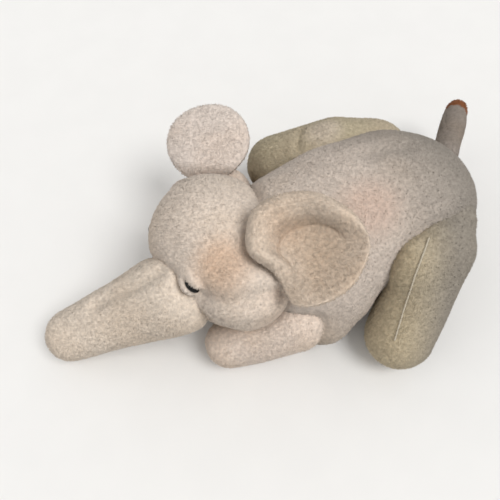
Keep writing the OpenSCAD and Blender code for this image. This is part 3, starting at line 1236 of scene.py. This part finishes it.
@dataclass(frozen=True)
class Stitches:
    """Row of pale stitches along a seam."""

    name: str
    body: str
    pixels: tuple[Pixel, ...]
    line_steps: int = 24
    length: float = 0.0034
    radius: float = 0.00048
    step: float = 0.0021
    height: float = 0.0006

    def build(self, cover: Object) -> Object:
        """Lays the stitches on a cover.

        Args:
            cover: The cover that is sewn.

        Returns:
            The stitches as one object.
        """
        line = CAMERA.lay_on(cover, self.pixels, self.line_steps)
        tree = BVHTree.FromPolygons(*polygons_of(cover.data))
        row = bmesh.new()
        walked = 0.0
        for a, b in zip(line, line[1:]):
            walked += (b - a).length
            if walked < self.step:
                continue
            walked = 0.0
            out = tree.find_nearest(b)[1]
            way = (b - a).normalized()
            side = out.cross(way).normalized()
            turn = Matrix((way, side, out)).transposed().to_4x4()
            size = Matrix.Diagonal((self.length / 2, self.radius, self.radius, 1.0))
            place = Matrix.Translation(b + out * self.height) @ turn @ size
            bmesh.ops.create_icosphere(row, subdivisions=STITCH_FINENESS, radius=1.0, matrix=place)
        obj = new_object(self.name, mesh_of(self.name, row))
        set_material(obj, THREAD)
        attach(obj, self.body)
        return obj


@dataclass(frozen=True)
class Lamp:
    """Wide lamp that shines from one direction."""

    name: str
    towards: Vector
    strength: float
    angle_deg: float

    def build(self) -> None:
        """Makes the lamp."""
        data = bpy.data.lights.new(self.name, "SUN")
        data.energy = self.strength
        data.angle = math.radians(self.angle_deg)
        lamp = bpy.data.objects.new(self.name, data)
        lamp.rotation_mode = "QUATERNION"
        lamp.rotation_quaternion = self.towards.to_track_quat("Z", "Y")
        bpy.context.scene.collection.objects.link(lamp)


@dataclass(frozen=True)
class Studio:
    """Plain pale floor and soft light."""

    lamps: tuple[Lamp, ...] = (Lamp("key_light", Vector((0.28, -0.42, 0.86)), 1.6, 28.0),
                               Lamp("fill_light", Vector((-0.7, 0.3, 0.6)), 0.35, 60.0))
    ambient: float = 0.64
    floor_half: float = 3.0
    floor_colour: Colour = (0.80, 0.79, 0.77)
    floor_roughness: float = 0.7
    worn: float = 0.97
    worn_share: float = 0.5
    worn_scale: float = 40.0

    def build(self) -> None:
        """Makes the floor, the lamps and the world."""
        self.make_floor()
        for lamp in self.lamps:
            lamp.build()
        self.make_world()
        bpy.context.scene.view_settings.view_transform = "Standard"

    def make_floor(self) -> None:
        """Makes the floor, which isn't part of the toy."""
        shape = bmesh.new()
        bmesh.ops.create_grid(shape, x_segments=1, y_segments=1, size=self.floor_half)
        floor = new_object("floor", mesh_of("floor", shape))
        bench = NodeBench("pale_floor")
        grain = bench.ranged(bench.noise(self.worn_scale), *NOISE_RANGE, 0.0, self.worn_share)
        worn = tuple(self.worn * c for c in self.floor_colour)
        bench.shade("Base Color", bench.mixed(grain, self.floor_colour, worn))
        bench.shade("Roughness", self.floor_roughness)
        floor.data.materials.append(bench.material)

    def make_world(self) -> None:
        """Makes a white background that lights the toy at a plain level."""
        world = bpy.data.worlds.new("studio")
        bpy.context.scene.world = world
        world.use_nodes = True
        nodes, links = world.node_tree.nodes, world.node_tree.links
        background = nodes["Background"]
        background.inputs["Color"].default_value = (1.0, 1.0, 1.0, 1.0)
        rays = nodes.new("ShaderNodeLightPath")
        seen = nodes.new("ShaderNodeMath")
        seen.operation = "MAXIMUM"
        links.new(rays.outputs["Is Camera Ray"], seen.inputs[0])
        links.new(rays.outputs["Is Glossy Ray"], seen.inputs[1])
        strength = nodes.new("ShaderNodeMapRange")
        strength.inputs["To Min"].default_value = self.ambient
        strength.inputs["To Max"].default_value = 1.0
        links.new(seen.outputs["Value"], strength.inputs["Value"])
        links.new(strength.outputs["Result"], background.inputs["Strength"])


CREAM_GROUND = srgb("e1d3c5")
CREAM_STAIN = srgb("decdbb")
PEACH = srgb("d9b799")
# Grey that the rear of the toy fades to: partly the fabric's own grey, partly painted shade where the light
# falls off towards the rear.
REAR_GREY_AND_SHADE = srgb("958e85")
# Olive grey of the hind legs: partly the fabric's own colour, partly painted shade where the light falls
# off towards the rear.
OLIVE = srgb("cabb9f")
RIGHTWARDS = CAMERA.axes()[0]

HEAD_PILE = PileFabric(
    "head_pile", FabricSlot.CREAM, CREAM_GROUND, CREAM_STAIN,
    patches=(Patch(Vector((-0.063, -0.005, 0.070)), 0.017, PEACH, 0.6),
             Patch(Vector((-0.052, -0.020, 0.052)), 0.016, PEACH, 0.45)))
TRUNK_PILE = PileFabric("trunk_pile", FabricSlot.CREAM, srgb("e6d8c8"), srgb("e2d1be"))
TORSO_PILE = PileFabric(
    "torso_pile", FabricSlot.CREAM, srgb("d4c7bb"), srgb("d1c0af"),
    # Towards the rump the torso turns grey, partly its own grey and partly painted shade.
    fades=(Fade(Vector((-0.005, 0.0, 0.0)), Vector((0.055, 0.0, 0.0)), REAR_GREY_AND_SHADE, 0.9),
           # Painted shade: the lower torso darkens towards the floor.
           Fade(Vector((0.0, 0.0, 0.050)), Vector((0.0, 0.0, 0.015)), srgb("a59786"), 0.5)),
    patches=(Patch(Vector((0.004, -0.012, 0.075)), 0.020, srgb("d3b6a5"), 0.5),))
FRONT_LEG_PILE = PileFabric("front_leg_pile", FabricSlot.CREAM, srgb("e8d8ca"), srgb("e4d0bd"))
LEFT_HIND_PILE = PileFabric(
    "left_hind_pile", FabricSlot.GREY, OLIVE, srgb("c7b99f"),
    # Towards the right the leg turns grey, partly its own grey and partly painted shade.
    fades=(Fade(RIGHTWARDS * 0.022, RIGHTWARDS * 0.048, REAR_GREY_AND_SHADE, 0.9),))
# The right hind leg's grey is partly its own and partly painted shade, the light falling off towards the
# rear.
RIGHT_HIND_PILE = PileFabric(
    "right_hind_pile", FabricSlot.GREY, srgb("c2b49c"), srgb("bbb096"),
    patches=(Patch(Vector((0.018, 0.045, 0.050)), 0.013, srgb("d6c8b8"), 0.7),))
# The tail's dark grey is partly its own grey and partly painted shade, as the tail is lit from behind.
TAIL_PILE = PileFabric("tail_pile", FabricSlot.GREY, srgb("9a9087"), srgb("8f8275"))
LEFT_EAR_PILE = PileFabric(
    "left_ear_pile", FabricSlot.EAR_LINING, srgb("dac9b7"), srgb("d6bfa7"),
    patches=(Patch(Vector((-0.036, -0.003, 0.078)), 0.014, PEACH, 0.35),))
RIGHT_EAR_PILE = PileFabric("right_ear_pile", FabricSlot.CREAM, srgb("e1d5cb"), srgb("deccbd"))
TAIL_TIP = PileFabric("tail_tip_pile", FabricSlot.TAIL_TIP, srgb("8f5836"), srgb("6c4530"))
THREAD = Gloss("pale_thread", srgb("b9b09e"), 0.8)
EYE = Gloss("eye_black", srgb("0c0a09"), 0.12)
WASHER = Gloss("washer_white", srgb("e8e8e4"), 0.4)

SLIT_LEFT = RIGHTWARDS - CAMERA.axes()[1]
SLIT_RIGHT = Vector((SLIT_LEFT.x, -SLIT_LEFT.y, SLIT_LEFT.z))
EYES = (EyeButton("left_eye_button", "left_eye", SLIT_LEFT, seat=0.0322, lid=0.0030),
        EyeButton("right_eye_button", "right_eye", SLIT_RIGHT, seat=0.0318, lid=0.0018))
WASHERS = ("left_eye_washer", "right_eye_washer")

# Lines seen in the photograph, in its pixels.
RUMP_CREASE = ((366, 153), (388, 148), (408, 147))
CHEEK_CREASE = ((203, 297), (225, 303), (250, 300), (283, 290))
TRUNK_CREASE = ((156, 274), (134, 287), (110, 297), (92, 307))
TUCKED_LEG_CREASE = ((300, 132), (299, 141), (297, 150))
HIND_LEG_SEAM = ((430, 236), (415, 275), (404, 310), (394, 343))

# Corners of the ears' rims: degrees round the ear, and radius.
LEFT_EAR_RIM = ((0, 0.0241), (55, 0.0204), (100, 0.0224), (145, 0.0260), (178, 0.0238),
                (200, 0.0165), (228, 0.0165), (255, 0.0226), (300, 0.0207), (340, 0.0222))
RIGHT_EAR_RIM = ((0, 0.0190), (45, 0.0196), (90, 0.0192), (135, 0.0180), (180, 0.0170),
                 (225, 0.0180), (270, 0.0200), (315, 0.0201))


def nodes_of(piece: str, *parts: str) -> tuple[str, ...]:
    """Names of the solids that one piece's cover stands for."""
    return tuple(f"{piece}_{part}" for part in parts)


def new_leg(name: str, fabric: PileFabric, **sizes: object) -> Leg:
    """Leg with its cover's name, its body and its solids.

    Args:
        name: Name of the leg, which is its body's too.
        fabric: Fabric of its cover.
        sizes: Fields of the leg that differ.

    Returns:
        The leg.
    """
    solids = nodes_of(name, "outer_panel", "inner_panel", "stuffing")
    return Leg(f"{name}_cover", name, solids, fabric, **sizes)


def front_legs() -> list[StuffedForm]:
    """The left front leg, laid forward, and the right one, folded beside the head."""
    left_paw = Vector((-0.0680, -0.0178, 0.0119))
    upper_arm = Vector((-0.037, -0.022, 0.0255))
    upper_arm_r = 0.0186
    left_arm = balls_between(upper_arm, upper_arm_r, left_paw, Leg.foot_r, 7)
    right_paw = Vector((-0.0510, 0.0646, 0.0119))
    bend_top, bend_low = Vector((-0.0335, 0.0505, 0.0285)), Vector((-0.036, 0.049, 0.017))
    bend_top_r, bend_low_r = 0.0112, 0.0124
    elbow = balls_between(bend_top, bend_top_r, bend_low, bend_low_r, 4)
    return [
        new_leg("left_front_leg", FRONT_LEG_PILE, joint="left_shoulder", foot=left_paw, root_r=0.0095,
                fullness=tuple(left_arm)),
        new_leg("right_front_leg", FRONT_LEG_PILE, joint="right_shoulder", foot=right_paw,
                fullness=tuple(elbow)),
    ]


def hind_legs() -> list[StuffedForm]:
    """The left hind leg, laid out to the side, and the right one, tucked along the flank."""
    haunch = round_ball(Vector((0.0402, -0.0212, 0.0462)), 0.0165)
    inner_thigh = round_ball(Vector((0.0190, -0.0330, 0.0460)), 0.0160)
    left_foot = Vector((0.0042, -0.0530, 0.0164))
    foot, thigh, hip = (Vector((-0.0036, 0.0530, 0.0275)), Vector((0.0229, 0.0389, 0.0341)),
                        Vector((0.0400, 0.0300, 0.0345)))
    foot_r, thigh_r, hip_r = 0.0156, 0.0203, 0.0188
    tucked = balls_between(foot, foot_r, thigh, thigh_r, 7) + balls_between(thigh, thigh_r, hip, hip_r, 6)
    return [
        new_leg("left_hind_leg", LEFT_HIND_PILE, joint="left_hip", foot=left_foot, root_r=0.0180,
                swell_r=0.0172, foot_r=0.0160, swell_at=0.26, fullness=(haunch, inner_thigh)),
        new_leg("right_hind_leg", RIGHT_HIND_PILE, joint="right_hip", foot=foot, root_r=0.0180,
                swell_r=0.0180, foot_r=foot_r, fullness=tuple(tucked),
                folds=(Fold(TUCKED_LEG_CREASE, width=0.0020, depth=0.0008),)),
    ]


def all_forms() -> list[StuffedForm]:
    """The toy's stuffed forms, in building order."""
    torso_solids = nodes_of("torso", "left_panel", "right_panel", "belly_panel", "stuffing")
    head_solids = nodes_of("head", "left_panel", "right_panel", "stuffing")
    trunk_solids = nodes_of("trunk", "top_panel", "bottom_panel", "stuffing")
    return [
        Torso("torso_cover", "torso", torso_solids, TORSO_PILE, voxel=0.003,
              folds=(Fold(RUMP_CREASE, width=0.004, depth=0.0012),)),
        Head("head_cover", "head", head_solids, HEAD_PILE,
             folds=(Fold(CHEEK_CREASE, width=0.0040, depth=0.0020),)),
        Trunk("trunk_cover", "trunk", trunk_solids, TRUNK_PILE,
              folds=(Fold(TRUNK_CREASE, width=0.0032, depth=0.0019, lip=0.25),)),
        *front_legs(),
        *hind_legs(),
        Ear("left_ear_cover", "left_ear", nodes_of("left_ear", "front", "back"), LEFT_EAR_PILE,
            joint="left_ear_root", rim=LEFT_EAR_RIM, roll=0.0062, dish=0.0030, pinch=0.0016,
            shift=0.0028, low_tuck=0.006),
        Ear("right_ear_cover", "right_ear", nodes_of("right_ear", "front", "back"), RIGHT_EAR_PILE,
            joint="right_ear_root", rim=RIGHT_EAR_RIM, shift=-0.0012, thick=0.0110, puff=0.6),
        Tail("tail_cover", "tail", ("tail_strip",), TAIL_PILE, voxel=0.0016, last=0.86),
        Tail("tail_tip_cover", "tail", ("tail_tuft",), TAIL_TIP, voxel=0.0014, fill=0.5,
             first=0.92, first_r=0.0059, last_r=0.0058),
    ]


def main() -> None:
    """Builds the toy and the studio."""
    logging.basicConfig(level=logging.INFO, format="%(name)s: %(message)s")
    CAMERA.build()
    Studio().build()
    forms = all_forms()
    for form in forms:
        form.build()
    for form in forms:
        form.draw_in(f for f in forms if f is not form and f.body != form.body)
    pile = Pile()
    for seed, form in enumerate(forms):
        form.dress()
        tufts = form.grow_pile([f for f in forms if f is not form], pile, seed)
        faces, count = len(form.obj.data.polygons), len(tufts.data.vertices) // TUFT_POINTS
        LOG.info("%s: %d faces, %d tufts", form.name, faces, count)
    cover = {form.name: form.obj for form in forms}
    seam = Stitches("left_hind_leg_seam", "left_hind_leg", HIND_LEG_SEAM)
    for piece in (seam.build(cover["left_hind_leg_cover"]), *(eye.build() for eye in EYES)):
        LOG.info("%s: %d faces", piece.name, len(piece.data.polygons))
    for washer in WASHERS:
        set_material(frame["nodes"][washer], WASHER)
        LOG.info("%s: finish only", washer)


if __name__ == "__main__":
    main()
